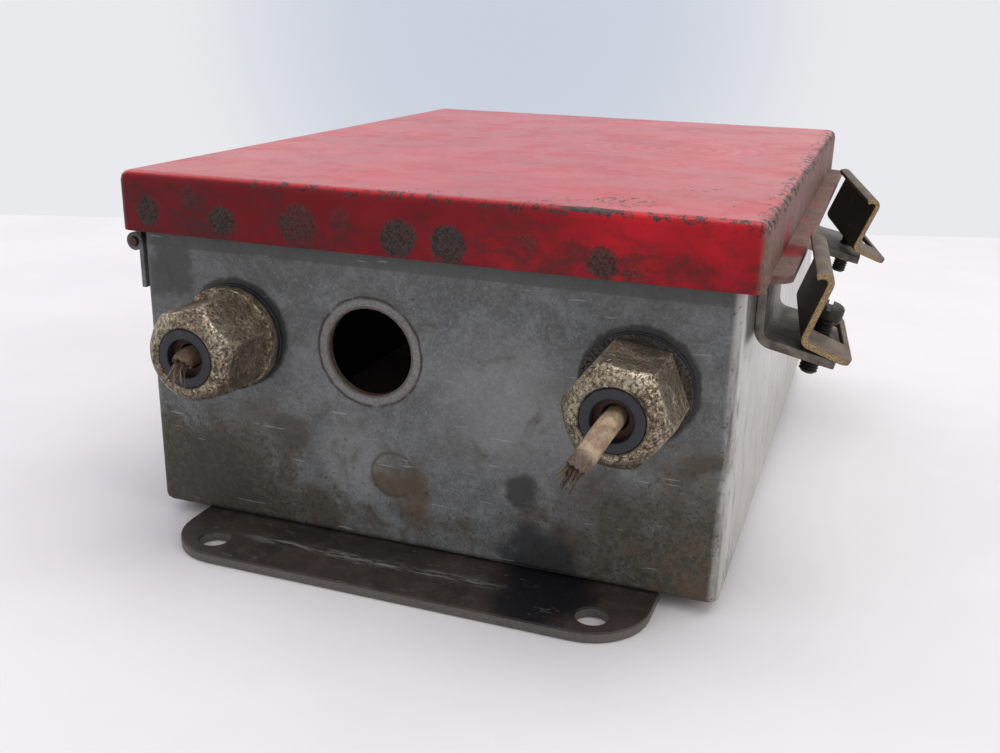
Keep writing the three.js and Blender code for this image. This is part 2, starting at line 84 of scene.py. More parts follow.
# ---- node graphs ----
class Shader:
    """A Principled material written with short calls.
    Arguments are numbers, colours or sockets. Sizes are in mm."""

    def __init__(self, name):
        self.material = bpy.data.materials.new(name)
        self.material.use_nodes = True
        self.nodes = self.material.node_tree.nodes
        self.links = self.material.node_tree.links
        self.principled = self.nodes["Principled BSDF"]
        coordinates = self.nodes.new("ShaderNodeTexCoord").outputs["Object"]
        scale = self.nodes.new("ShaderNodeVectorMath")
        scale.operation = "SCALE"
        scale.inputs["Scale"].default_value = 1 / MM
        self.links.new(coordinates, scale.inputs[0])
        self.place = scale.outputs["Vector"]
        split = self.nodes.new("ShaderNodeSeparateXYZ")
        self.links.new(self.place, split.inputs[0])
        self.x, self.y, self.z = split.outputs

    def put(self, value, socket):
        if isinstance(value, bpy.types.NodeSocket):
            self.links.new(value, socket)
        elif isinstance(value, tuple) and len(value) == 3 and len(socket.default_value) == 4:
            socket.default_value = (*value, 1)
        else:
            socket.default_value = value

    def math(self, operation, *values):
        node = self.nodes.new("ShaderNodeMath")
        node.operation = operation
        for value, socket in zip(values, node.inputs):
            self.put(value, socket)
        return node.outputs[0]

    def add(self, *values):
        total = values[0]
        for value in values[1:]:
            total = self.math("ADD", total, value)
        return total

    def times(self, *values):
        total = values[0]
        for value in values[1:]:
            total = self.math("MULTIPLY", total, value)
        return total

    def most(self, *values):
        total = values[0]
        for value in values[1:]:
            total = self.math("MAXIMUM", total, value)
        return total

    def inverse(self, value):
        return self.math("SUBTRACT", 1.0, value)

    def rise(self, value, low, high, start=0.0, end=1.0):
        """start below low, end above high, smooth between. low may be above high for a fall."""
        node = self.nodes.new("ShaderNodeMapRange")
        node.interpolation_type = "SMOOTHSTEP"
        falling = low > high
        for name, number in (("From Min", min(low, high)), ("From Max", max(low, high)),
                             ("To Min", end if falling else start), ("To Max", start if falling else end)):
            node.inputs[name].default_value = number
        self.put(value, node.inputs["Value"])
        return node.outputs["Result"]

    def noise(self, size, detail=3, roughness=0.55, distortion=0.0, stretch=(1, 1, 1), offset=0.0):
        mapping = self.nodes.new("ShaderNodeMapping")
        self.links.new(self.place, mapping.inputs["Vector"])
        mapping.inputs["Scale"].default_value = [1 / size / s for s in stretch]
        mapping.inputs["Location"].default_value = (offset, offset * 0.7, offset * 1.3)
        node = self.nodes.new("ShaderNodeTexNoise")
        self.links.new(mapping.outputs[0], node.inputs["Vector"])
        node.inputs["Scale"].default_value = 1
        node.inputs["Detail"].default_value = detail
        node.inputs["Roughness"].default_value = roughness
        node.inputs["Distortion"].default_value = distortion
        return node.outputs["Fac"]

    def mix(self, factor, first, second):
        node = self.nodes.new("ShaderNodeMix")
        node.data_type = "RGBA"
        self.put(factor, node.inputs[0])
        self.put(first, node.inputs[6])
        self.put(second, node.inputs[7])
        return node.outputs[2]

    def disc(self, u, v, centre, radius, soft=1.0, wobble=0.0, wobble_size=3.0):
        """1 inside a round patch of the plane of u and v, 0 outside, with an uneven edge."""
        across = self.math("SUBTRACT", u, centre[0])
        along = self.math("SUBTRACT", v, centre[1])
        distance = self.math("SQRT", self.add(self.times(across, across), self.times(along, along)))
        if wobble:
            uneven = self.noise(wobble_size, 3, 0.6, offset=centre[0])
            distance = self.add(distance, self.times(self.math("SUBTRACT", uneven, 0.5), 2 * wobble))
        return self.rise(distance, radius + soft / 2, radius - soft / 2)

    def ring(self, u, v, centre, radius, width, wobble=0.0):
        outer = self.disc(u, v, centre, radius + width / 2, width * 0.8, wobble, 4.0)
        inner = self.disc(u, v, centre, radius - width / 2, width * 0.8, wobble, 4.0)
        return self.math("SUBTRACT", outer, inner)

    def edges(self):
        """1 on the rounded edges of a refined piece, on a nut's worn corners and at a cable's torn end."""
        node = self.nodes.new("ShaderNodeAttribute")
        node.attribute_name = "edge"
        return node.outputs["Fac"]

    def facing(self):
        """The X, Y and Z parts of the surface's direction, in the piece's own space."""
        coordinates = self.nodes.new("ShaderNodeTexCoord")
        split = self.nodes.new("ShaderNodeSeparateXYZ")
        self.links.new(coordinates.outputs["Normal"], split.inputs[0])
        return split.outputs

    def bump(self, *layers):
        """layers are (height, depth in mm) from coarse to fine."""
        normal = None
        for height, depth in layers:
            node = self.nodes.new("ShaderNodeBump")
            node.inputs["Strength"].default_value = 1
            node.inputs["Distance"].default_value = depth * MM
            self.put(height, node.inputs["Height"])
            if normal is not None:
                self.links.new(normal, node.inputs["Normal"])
            normal = node.outputs["Normal"]
        self.links.new(normal, self.principled.inputs["Normal"])

    def finish(self, color, roughness, metallic=0.0, specular=0.5):
        self.put(color, self.principled.inputs["Base Color"])
        self.put(roughness, self.principled.inputs["Roughness"])
        self.put(metallic, self.principled.inputs["Metallic"])
        self.principled.inputs["Specular IOR Level"].default_value = specular
        return self.material


# ---- materials ----
RED = (0.46, 0.007, 0.016)
DEEP_RED = (0.25, 0.005, 0.011)
BARE_DARK = (0.030, 0.027, 0.025)
GRIME = (0.10, 0.075, 0.060)
RUST = (0.13, 0.062, 0.028)
# Round worn spots along the lid's entry-end skirt: X, Z, radius in mm, and how deeply each is worn.
SKIRT_SPOTS = (
    (-71.9, 82.1, 3.5, 0.95), (-59.4, 86.6, 2.7, 0.45), (-50.5, 81.4, 3.6, 1.0), (-29.3, 82.4, 4.8, 0.72),
    (-17.8, 84.4, 2.6, 0.4), (-2.8, 81.2, 4.5, 1.0), (9.7, 81.0, 4.5, 1.0), (29.2, 83.9, 1.9, 0.5),
    (46.2, 80.1, 3.6, 0.85), (53.0, 77.6, 2.4, 0.5))
# Flaked patches on the lid's top: X, Y, radius in mm, and how much is gone.
TOP_FLAKES = (
    (47.0, -92.0, 10.0, 0.9), (35.0, -99.0, 11.0, 0.8), (60.0, -66.0, 7.0, 0.8), (64.0, -44.0, 7.0, 0.65),
    (5.0, -100.0, 9.0, 0.75), (-28.0, -101.5, 7.0, 0.7), (70.0, -84.0, 8.0, 0.7), (67.0, 10.0, 12.0, 0.5))

# The middle of the faint wiping arcs on the lid's top, in X and Y.
WIPE_CENTRE = (39, 13)


def red_paint():
    s = Shader("red_paint")
    front = s.rise(s.y, -103.9, -104.7)
    side = s.rise(s.x, 79.0, 80.3)
    top = s.rise(s.z, 90.9, 91.6)
    fine = s.noise(1.1, 4, 0.7)
    gritty = s.noise(0.55, 4, 0.8, offset=21)
    worn_tone = s.rise(s.noise(30, 4, 0.6), 0.32, 0.68)
    # Painted shade: the deeper red tone lies on the skirts at full strength and on the top at under half, so the
    # skirts come out darker than the top.
    color = s.mix(s.times(worn_tone, s.add(0.45, s.times(s.inverse(top), 0.55))), RED, DEEP_RED)
    # Painted shade: the front skirt is darkened further, most towards its left end.
    color = s.mix(s.times(s.rise(s.x, 60, -20), front, 0.72), color, (0.080, 0.004, 0.007))
    # Dark film on the skirts: blotches, and a fine dark speckle inside them.
    low = s.rise(s.z, 88.5, 78.0)
    blotches = s.noise(8, 6, 0.7, 0.3, stretch=(1.6, 1.6, 0.8), offset=4)
    film = s.rise(s.add(blotches, s.times(low, 0.10)), 0.46, 0.70)
    color = s.mix(s.times(film, s.inverse(top), 0.62), color, (0.050, 0.012, 0.014))
    speckle = s.rise(s.add(gritty, s.times(film, 0.10)), 0.60, 0.68)
    color = s.mix(s.times(speckle, s.inverse(top), 0.75), color, BARE_DARK)
    # The clamp side is brown with handling, but for one clean patch by the near clamp.
    grimy = s.times(side, s.rise(s.noise(6, 5, 0.72, stretch=(1, 2, 1), offset=2), 0.20, 0.46))
    clean = s.disc(s.y, s.z, (-64, 79.0), 7.0, 5, 3)
    grime_tone = s.mix(s.rise(fine, 0.35, 0.65), GRIME, (0.17, 0.12, 0.10))
    color = s.mix(s.times(grimy, 0.88, s.inverse(clean)), color, grime_tone)
    # Round spots worn through to a dark primer, with ragged edges and smears round them.
    spots = 0.0
    for x, z, radius, depth in SKIRT_SPOTS:
        patch = s.disc(s.x, s.z, (x, z), radius, 1.6, 1.5, 2.4)
        spots = s.most(spots, s.times(patch, depth))
    spots = s.times(spots, front, s.rise(s.noise(2.6, 5, 0.75, offset=31), 0.22, 0.46))
    spot_color = s.mix(s.rise(gritty, 0.42, 0.62), (0.050, 0.044, 0.040), (0.020, 0.012, 0.012))
    color = s.mix(s.times(spots, 0.95), color, spot_color)
    # Flaked paint: along the edges, in patches on the top, and rubbed away along the clamp side.
    flakes = s.noise(2.1, 7, 0.76, 0.2, stretch=(0.9, 1.5, 1), offset=7)
    near_edge = s.times(s.rise(s.y, -99.5, -103.5), s.rise(s.z, 88.4, 90.6), s.rise(s.x, -75, -20, 0.55, 1.0))
    clamp_edge = s.times(s.rise(s.x, 71.0, 79.4), s.rise(s.z, 86.8, 90.2))
    ask = s.most(s.times(near_edge, 0.92), s.times(clamp_edge, 0.98), s.times(side, 0.5))
    for x, y, radius, amount in TOP_FLAKES:
        ask = s.most(ask, s.times(s.disc(s.x, s.y, (x, y), radius, radius * 1.4), top, amount))
    chips = s.rise(s.add(flakes, s.times(ask, 0.245)), 0.765, 0.785)
    # Y is stretched tenfold, so that this patch is long and thin.
    long_chip = s.times(s.disc(s.x, s.times(s.y, 10.0), (42.5, -1036), 8.0, 1.5, 2.4, 2.0),
                        s.rise(s.z, 90.2, 90.8))
    chips = s.most(chips, s.times(long_chip, s.rise(fine, 0.30, 0.42)))
    under = s.mix(s.rise(fine, 0.42, 0.62), (0.062, 0.050, 0.048), (0.024, 0.020, 0.020))
    color = s.mix(chips, color, under)
    worn = s.times(s.edges(), s.rise(s.noise(4, 6, 0.74, offset=3), 0.56, 0.62), s.inverse(top))
    color = s.mix(s.times(worn, 0.85), color, (0.060, 0.042, 0.040))
    # Dust, dull clouds and faint wiping arcs on the top.
    dust = s.rise(s.noise(20, 6, 0.7, 0.3, offset=8), 0.38, 0.74)
    color = s.mix(s.times(dust, top, 0.05), color, (0.42, 0.16, 0.16))
    dots = s.rise(s.noise(1.3, 3, 0.7, offset=12), 0.67, 0.70)
    color = s.mix(s.times(dots, top, 0.7), color, (0.13, 0.02, 0.024))
    across, along = s.math("SUBTRACT", s.x, WIPE_CENTRE[0]), s.math("SUBTRACT", s.y, WIPE_CENTRE[1])
    away = s.math("SQRT", s.add(s.times(across, across), s.times(along, along)))
    arcs = s.rise(s.math("SINE", s.times(away, 1.3)), -0.4, 1.0)
    wipe = s.times(s.disc(s.x, s.y, WIPE_CENTRE, 26, 26), top, arcs)
    gloss = s.add(0.27, s.times(dust, 0.10), s.times(wipe, 0.06), s.times(s.inverse(top), 0.10),
                  s.times(film, 0.10))
    roughness = s.add(gloss, s.times(chips, 0.3), s.times(spots, 0.35), s.times(grimy, 0.2))
    whole = s.inverse(s.most(chips, s.times(spots, 0.6)))
    s.bump((s.noise(48, 2, 0.4, offset=6), 0.22), (whole, 0.12), (gritty, 0.012))
    # The skirts are dull; the top keeps a gloss coat.
    s.put(s.times(top, 0.36), s.principled.inputs["Coat Weight"])
    s.principled.inputs["Coat Roughness"].default_value = 0.26
    return s.finish(color, roughness, 0.0, 0.16)


# In X and Z on the entry wall: the open hole's centre and the round rust print below it.
OPEN_HOLE = (-12.45, 51.3)
PRINT_CENTRE = (-6.3, 19.6)


def gland_centre(side):
    """X and Z of a gland's axis, in mm."""
    low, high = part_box(side + "_gland_ring")
    return (low.x + high.x) / 2 / MM, (low.z + high.z) / 2 / MM


def grey_paint():
    s = Shader("grey_paint")
    front = s.rise(s.y, -100.9, -101.3)
    clamp_side = s.rise(s.x, 76.3, 77.1)
    broad = s.noise(24, 5, 0.6, 0.5)
    cloud = s.noise(9, 6, 0.68, 0.6, offset=3)
    fine = s.noise(0.7, 4, 0.78, offset=5)
    gritty = s.noise(1.6, 6, 0.8, 0.4, offset=2)
    color = s.mix(s.rise(broad, 0.32, 0.68), (0.072, 0.076, 0.077), (0.134, 0.139, 0.139))
    color = s.mix(s.times(s.rise(cloud, 0.46, 0.70), 0.62), color, (0.188, 0.197, 0.202))
    color = s.mix(s.times(s.rise(fine, 0.50, 0.70), 0.50), color, (0.26, 0.266, 0.268))
    color = s.mix(s.times(s.rise(fine, 0.48, 0.34), 0.55), color, (0.045, 0.044, 0.040))
    dim = s.rise(s.noise(11, 6, 0.72, 0.4, offset=33), 0.50, 0.68)
    color = s.mix(s.times(dim, 0.45), color, (0.050, 0.049, 0.044))
    # Wiped paint and painted light: two soft paler patches on the front of the entry wall.
    pale_wipe_and_light = s.most(s.disc(s.x, s.z, (22, 42), 16, 22, 8, 10),
                  s.times(s.disc(s.x, s.z, (-17, 22), 9, 10, 5, 6), 0.8))
    color = s.mix(s.times(pale_wipe_and_light, front, 0.40), color, (0.26, 0.265, 0.262))
    # Brown film and rust freckles: thickest towards the back edge and the clamp-side corner.
    low = s.rise(s.z, 40, 2)
    corner = s.times(s.rise(s.x, 22, 76), s.rise(s.z, 56, 4))
    left_low = s.times(s.rise(s.x, -12, -62), s.rise(s.z, 44, 12))
    dirt_ask = s.add(s.times(low, 0.14), s.times(corner, 0.23), s.times(left_low, 0.23))
    film = s.rise(s.add(s.noise(12, 6, 0.72, 0.7, offset=9), dirt_ask), 0.52, 0.78)
    color = s.mix(s.times(film, 0.84), color, (0.052, 0.043, 0.026))
    freckles = s.rise(s.add(gritty, s.times(dirt_ask, 0.36), s.times(film, 0.03)), 0.62, 0.70)
    color = s.mix(s.times(freckles, 0.78), color, (0.030, 0.023, 0.015))
    rust_ask = s.add(s.times(corner, 0.20), s.times(low, 0.03))
    rust = s.rise(s.add(s.noise(4, 7, 0.8, 0.4, offset=14), rust_ask), 0.66, 0.78)
    color = s.mix(s.times(rust, 0.6), color, (0.100, 0.060, 0.030))
    spots = s.rise(s.noise(2.4, 3, 0.6, offset=26), 0.735, 0.755)
    color = s.mix(s.times(spots, 0.85), color, (0.028, 0.020, 0.015))
    # Stains in X and Z: dark oily patches, brown smears and a round rust print with a run below it.
    stains = (((27.6, 21.0), 4.3, 0.92, (0.020, 0.018, 0.016)), ((33, 4), 9.0, 0.90, (0.010, 0.011, 0.013)),
              ((-35.5, 27), 5.0, 0.70, (0.040, 0.030, 0.021)), ((-44, 24), 9.0, 0.50, (0.062, 0.045, 0.030)),
              ((-58, 12), 11.0, 0.60, (0.034, 0.029, 0.020)), ((46, 20), 10.0, 0.45, (0.045, 0.036, 0.028)),
              ((-69, 66), 8.0, 0.7, (0.018, 0.016, 0.014)), ((68, 30), 8.0, 0.45, (0.07, 0.05, 0.035)))
    for centre, radius, depth, tint in stains:
        patch = s.disc(s.x, s.z, centre, radius, radius * 0.7, radius * 0.85, radius * 0.8)
        patch = s.times(patch, s.rise(fine, 0.25, 0.5, 0.7, 1.0))
        color = s.mix(s.times(patch, front, depth), color, tint)
    inside = s.times(s.disc(s.x, s.z, PRINT_CENTRE, 5.9, 0.8, 0.6), s.rise(s.z, 24.5, 17.0),
                     s.rise(cloud, 0.2, 0.5))
    color = s.mix(s.times(inside, front, 0.80), color, (0.085, 0.050, 0.022))
    outline = s.times(s.ring(s.x, s.z, PRINT_CENTRE, 6.0, 0.8, 0.5), front,
                      s.rise(cloud, 0.30, 0.45, 0.4, 1.0))
    color = s.mix(s.times(outline, 0.75), color, (0.055, 0.034, 0.020))
    # Z is squeezed, so that the run below the print is tall.
    run = s.times(s.disc(s.x, s.times(s.z, 0.4), (0.0, 5.4), 3.4, 3.0, 1.6), front)
    color = s.mix(s.times(run, 0.7), color, (0.085, 0.048, 0.024))
    # Where a conduit locknut sat: a cleaner band, a dark ring outside it that is painted shade along the seat's
    # edge, and a brown edge to the hole.
    band_tone = s.mix(s.rise(fine, 0.35, 0.65), (0.120, 0.116, 0.110), (0.21, 0.205, 0.20))
    color = s.mix(s.times(s.ring(s.x, s.z, OPEN_HOLE, 12.55, 2.2), front, 0.85), color, band_tone)
    broken = s.rise(s.noise(2.2, 4, 0.7, offset=1), 0.30, 0.48)
    # Painted shade: a thin dark ring along the outer edge of the locknut seat.
    rim = s.times(s.ring(s.x, s.z, OPEN_HOLE, 13.95, 0.7, 0.45), front, broken)
    color = s.mix(s.times(rim, 0.95), color, (0.020, 0.012, 0.009))
    lip = s.times(s.disc(s.x, s.z, OPEN_HOLE, 11.75, 0.5, 0.25), s.rise(s.y, -97, -98))
    lip_tone = s.mix(s.rise(gritty, 0.4, 0.6), (0.050, 0.026, 0.017), (0.095, 0.060, 0.042))
    color = s.mix(s.times(lip, 0.85), color, lip_tone)
    # Painted shade round each gland where it meets the wall, a dark band under the lid's skirt that is dirt and
    # painted shadow, and painted shade growing towards the lid.
    for side in ("left", "right"):
        x, z = gland_centre(side)
        # Painted shade: a dark disc round each gland where it meets the wall, set a little up and to the right.
        gland_shade = s.times(s.disc(s.x, s.z, (x + 0.5, z + 0.8), 14.4, 1.0, 1.1), front)
        color = s.mix(s.times(gland_shade, 0.85), color, (0.014, 0.012, 0.011))
    # Dirt and painted shadow: a dark band on the wall just under the lid's skirt.
    skirt_dirt_and_shadow = s.times(s.rise(s.z, 72.3, 72.8), s.rise(fine, 0.2, 0.6, 0.7, 1.0))
    color = s.mix(s.times(skirt_dirt_and_shadow, 0.66), color, (0.040, 0.038, 0.036))
    # Painted shade: the wall darkens towards the lid, under its overhang.
    color = s.mix(s.times(s.rise(s.z, 62, 77), 0.35), color, (0.060, 0.060, 0.058))
    # Rubbed bare metal down the clamp-side corner and on that wall, with dark pits along the corner.
    streak = s.noise(4, 5, 0.65, stretch=(1, 1, 8), offset=8)
    bright = s.times(s.rise(s.x, 74.2, 76.0), s.rise(streak, 0.34, 0.58))
    brushed = s.rise(s.noise(7, 6, 0.7, stretch=(1, 1, 2.4), offset=18), 0.30, 0.66)
    wall_tone = s.mix(brushed, (0.40, 0.375, 0.36), (0.62, 0.60, 0.585))
    color = s.mix(s.times(clamp_side, 0.92), color, wall_tone)
    color = s.mix(s.times(bright, 0.7), color, (0.52, 0.50, 0.48))
    smears = s.rise(s.noise(7, 6, 0.72, stretch=(1, 1, 2.5), offset=28), 0.50, 0.66)
    smudge = s.times(s.rise(s.y, -60, -100), clamp_side, smears)
    color = s.mix(s.times(smudge, 0.75), color, (0.09, 0.082, 0.078))
    pitted = s.times(s.rise(s.x, 71.5, 74.6), s.rise(s.x, 77.2, 75.6),
                     s.rise(s.noise(2.0, 6, 0.8, offset=24), 0.56, 0.64))
    color = s.mix(s.times(pitted, 0.85), color, (0.035, 0.022, 0.014))
    worn = s.times(s.edges(), s.rise(s.noise(3.5, 5, 0.7, offset=4), 0.50, 0.62))
    color = s.mix(s.times(worn, 0.5), color, (0.24, 0.23, 0.22))
    scratch = s.rise(s.noise(1.1, 2, 0.5, stretch=(11, 11, 1), offset=17), 0.715, 0.73)
    color = s.mix(s.times(scratch, front, 0.45), color, (0.34, 0.34, 0.33))
    metal = s.math("MINIMUM", 1.0, s.add(s.times(bright, 0.6), s.times(clamp_side, 0.55), s.times(worn, 0.3)))
    roughness = s.add(0.44, s.times(film, 0.16), s.times(s.rise(fine, 0.3, 0.7), 0.10),
                      s.times(clamp_side, -0.14))
    seat_edge = s.times(s.disc(s.x, s.z, OPEN_HOLE, 13.8, 0.5), front)
    s.bump((s.noise(60, 2, 0.4, offset=2), 0.6), (s.times(seat_edge, -1.0), 0.10),
           (s.inverse(s.most(freckles, spots)), 0.05), (fine, 0.025))
    return s.finish(color, roughness, metal)


def brown_paint():
    s = Shader("brown_paint")
    broad = s.noise(14, 5, 0.65, 0.4)
    fine = s.noise(0.8, 5, 0.78, offset=3)
    color = s.mix(s.rise(broad, 0.35, 0.65), (0.020, 0.0145, 0.013), (0.040, 0.028, 0.024))
    faded = s.rise(s.noise(4, 6, 0.74, offset=5), 0.48, 0.68)
    color = s.mix(s.times(faded, 0.5), color, (0.075, 0.056, 0.049))
    color = s.mix(s.times(s.rise(fine, 0.56, 0.70), 0.6), color, (0.11, 0.088, 0.078))
    # A rubbed line along the middle, the dark patch by the wall, which is oil and painted shadow of the gland and
    # cable, and scuffs.
    out = s.math("ABSOLUTE", s.y)
    rub = s.times(s.rise(s.math("ABSOLUTE", s.math("SUBTRACT", out, 112)), 2.6, 0.3),
                  s.rise(s.noise(1.5, 6, 0.78, stretch=(6, 1, 1), offset=7), 0.47, 0.58),
                  s.rise(s.x, -50, -32), s.rise(s.x, 40, 10))
    color = s.mix(s.times(rub, 0.9), color, (0.20, 0.185, 0.175))
    # Oil and painted shadow: a near-black patch on the front foot by the wall.
    oil_and_shadow = s.times(s.disc(s.x, s.times(s.y, 0.6), (37, -65.5), 12, 8, 5, 9), s.rise(s.y, 0, -50))
    color = s.mix(s.times(oil_and_shadow, 0.92), color, (0.004, 0.004, 0.006))
    scuff = s.rise(s.noise(1.8, 6, 0.78, stretch=(3.5, 1, 1), offset=11), 0.62, 0.67)
    color = s.mix(s.times(scuff, 0.6), color, (0.16, 0.14, 0.125))
    worn = s.times(s.edges(), s.rise(s.noise(2.4, 5, 0.74, stretch=(3, 1, 1), offset=4), 0.36, 0.48))
    color = s.mix(s.times(worn, 0.85), color, (0.24, 0.22, 0.20))
    side = s.rise(s.z, -0.30, -0.7)
    color = s.mix(s.times(side, s.rise(fine, 0.3, 0.6, 0.4, 0.85)), color, (0.13, 0.115, 0.10))
    roughness = s.add(0.46, s.times(s.rise(fine, 0.3, 0.7), 0.14), s.times(oil_and_shadow, -0.14))
    s.bump((s.noise(7, 4, 0.6, offset=8), 0.10), (fine, 0.05), (s.inverse(s.most(scuff, rub)), 0.04))
    return s.finish(color, roughness, s.times(worn, 0.6), 0.4)


def plated_nut():
    s = Shader("pitted_plating")
    broad = s.noise(7, 5, 0.7, 0.6)
    fine = s.noise(0.8, 5, 0.82, offset=2)
    grain = s.noise(0.30, 2, 0.7, offset=6)
    color = s.mix(s.rise(broad, 0.34, 0.64), (0.38, 0.33, 0.24), (0.20, 0.148, 0.105))
    backward = s.rise(s.y, -117, -108)
    brown = s.rise(s.add(s.noise(8, 6, 0.72, 0.4, offset=9), s.times(backward, 0.07)), 0.50, 0.66)
    color = s.mix(s.times(brown, 0.75), color, (0.26, 0.175, 0.125))
    pits = s.rise(fine, 0.50, 0.38)
    color = s.mix(s.times(pits, 0.88), color, (0.026, 0.020, 0.014))
    sparkle = s.rise(s.times(grain, s.rise(fine, 0.45, 0.62)), 0.46, 0.56)
    color = s.mix(s.times(sparkle, 0.85), color, (0.80, 0.70, 0.52))
    soot = s.rise(s.noise(7, 5, 0.74, 0.5, offset=15), 0.57, 0.70)
    color = s.mix(s.times(soot, 0.85), color, (0.016, 0.014, 0.013))
    # Painted shade: the lower part of each nut is darkened.
    low = s.rise(s.z, 46, 38)
    color = s.mix(s.times(low, 0.6), color, (0.030, 0.026, 0.022))
    # Grime and painted shade: the nut's base where it meets the wall is darkened.
    base_grime_and_shade = s.rise(s.y, -104.1, -103.3)
    color = s.mix(s.times(base_grime_and_shade, 0.92), color, (0.018, 0.016, 0.015))
    # Pale crust and painted highlight: rough pale patches on the upper front of the dome, where the light catches
    # it.
    crust_and_highlight = s.times(s.rise(s.noise(1.5, 5, 0.8, 0.9, offset=19), 0.60, 0.63), s.rise(s.y, -111, -116),
                    s.rise(s.z, 54, 58))
    color = s.mix(crust_and_highlight, color, (0.66, 0.64, 0.60))
    worn = s.times(s.edges(), s.rise(s.noise(2.0, 5, 0.74, offset=5), 0.40, 0.52))
    color = s.mix(s.times(worn, 0.7), color, (0.50, 0.44, 0.33))
    metal = s.math("SUBTRACT", 0.92, s.add(s.times(pits, 0.35), s.times(brown, 0.40), s.times(crust_and_highlight, 0.8),
                                    s.times(base_grime_and_shade, 0.6)))
    roughness = s.add(0.27, s.times(pits, 0.35), s.times(brown, 0.22), s.times(s.rise(grain, 0.4, 0.6), 0.10))
    s.bump((s.noise(3.0, 5, 0.7, offset=1), 0.34), (s.inverse(pits), 0.14), (fine, 0.10), (crust_and_highlight, 0.2))
    return s.finish(color, roughness, metal)


def worn_steel(name, base, dark, edge, metal=0.6, grain=0.9, stain=0.5, inner=None):
    """Dull steel plate: base and dark tones, an edge tone, and how much brown stain lies on it.
    inner is a near-black painted shade for the faces that look towards the case, and it also darkens the other
    faces between sandy specks. Where it is given, the plate's cut ends take the edge tone."""
    s = Shader(name)
    broad = s.noise(6, 5, 0.66, 0.4)
    fine = s.noise(grain, 4, 0.78, offset=3)
    color = s.mix(s.rise(broad, 0.35, 0.66), base, dark)
    color = s.mix(s.times(s.rise(s.noise(3, 5, 0.7, offset=7), 0.50, 0.70), stain), color, RUST)
    pits = s.rise(fine, 0.42, 0.32)
    color = s.mix(s.times(pits, 0.7), color, (0.030, 0.024, 0.018))
    light = s.rise(fine, 0.60, 0.72)
    color = s.mix(s.times(light, 0.4), color, edge)
    worn = s.times(s.edges(), s.rise(s.noise(1.6, 4, 0.7, offset=5), 0.34, 0.50))
    color = s.mix(s.times(worn, 0.9), color, edge)
    if inner:
        towards_x, towards_y, _towards_z = s.facing()
        # Painted shade: the faces that look towards the case take the near-black inner tone.
        shaded_inward = s.rise(towards_x, -0.25, -0.65)
        color = s.mix(s.times(shaded_inward, 0.94), color, s.mix(s.rise(broad, 0.55, 0.8), inner, dark))
        sand = s.rise(s.noise(0.30, 2, 0.8, offset=13), 0.34, 0.62)
        cut_end = s.rise(towards_y, -0.6, -0.9)
        color = s.mix(s.times(cut_end, s.add(0.35, s.times(sand, 0.55))), color, edge)
        # Painted shade: the other faces are darkened towards the inner tone too, all but the sandy specks.
        color = s.mix(s.times(s.inverse(shaded_inward), s.inverse(sand), 0.62), color, inner)
    shine = s.math("MULTIPLY", s.inverse(s.times(pits, 0.6)), metal)
    roughness = s.add(0.42, s.times(s.rise(fine, 0.35, 0.65), 0.16), s.times(pits, 0.2))
    s.bump((s.noise(4, 3, 0.6, offset=1), 0.06), (fine, 0.10 if inner else 0.06))
    return s.finish(color, roughness, shine)


def dusty(name, base, dust, roughness, size=4.0, amount=0.5, depth=0.03, specular=0.5):
    """Rubber and moulded plastic: an even tone under uneven dust, with a fine grain."""
    s = Shader(name)
    lay = s.rise(s.noise(size, 5, 0.7, offset=2), 0.42, 0.70)
    fine = s.noise(0.5, 3, 0.7, offset=4)
    color = s.mix(s.times(lay, amount), base, dust)
    color = s.mix(s.times(s.rise(fine, 0.62, 0.72), amount), color, dust)
    rough = s.add(roughness, s.times(lay, 0.15), s.times(s.rise(fine, 0.4, 0.6), 0.05))
    s.bump((s.noise(2.5, 3, 0.6, offset=1), depth), (fine, depth * 0.6))
    return s.finish(color, rough, 0.0, specular)


def grey_jacket():
    s = Shader("cable_jacket")
    blotch = s.noise(2.6, 5, 0.7, 0.4)
    fine = s.noise(0.5, 4, 0.75, offset=3)
    color = s.mix(s.rise(blotch, 0.36, 0.62), (0.36, 0.27, 0.175), (0.20, 0.125, 0.070))
    color = s.mix(s.times(s.rise(s.noise(4, 4, 0.7, offset=8), 0.52, 0.70), 0.35), color, (0.42, 0.36, 0.27))
    color = s.mix(s.times(s.rise(fine, 0.60, 0.70), 0.7), color, (0.06, 0.035, 0.025))
    torn = s.rise(s.add(s.edges(), s.times(s.noise(1.2, 4, 0.8, offset=5), 0.5)), 0.52, 0.82)
    torn_tone = s.mix(s.rise(fine, 0.4, 0.6), (0.022, 0.012, 0.008), (0.10, 0.052, 0.030))
    color = s.mix(s.times(torn, 0.9), color, torn_tone)
    s.bump((blotch, 0.12), (fine, 0.05), (torn, 0.15))
    return s.finish(color, s.add(0.44, s.times(s.rise(blotch, 0.4, 0.6), 0.2)))


def plain(name, base, second, roughness, metal=0.0, size=6.0):
    """Clean inner parts: two close tones and a light grain."""
    s = Shader(name)
    color = s.mix(s.rise(s.noise(size, 4, 0.6), 0.35, 0.65), base, second)
    fine = s.noise(0.8, 3, 0.7, offset=3)
    s.bump((fine, 0.02))
    return s.finish(color, s.add(roughness, s.times(fine, 0.1)), metal)


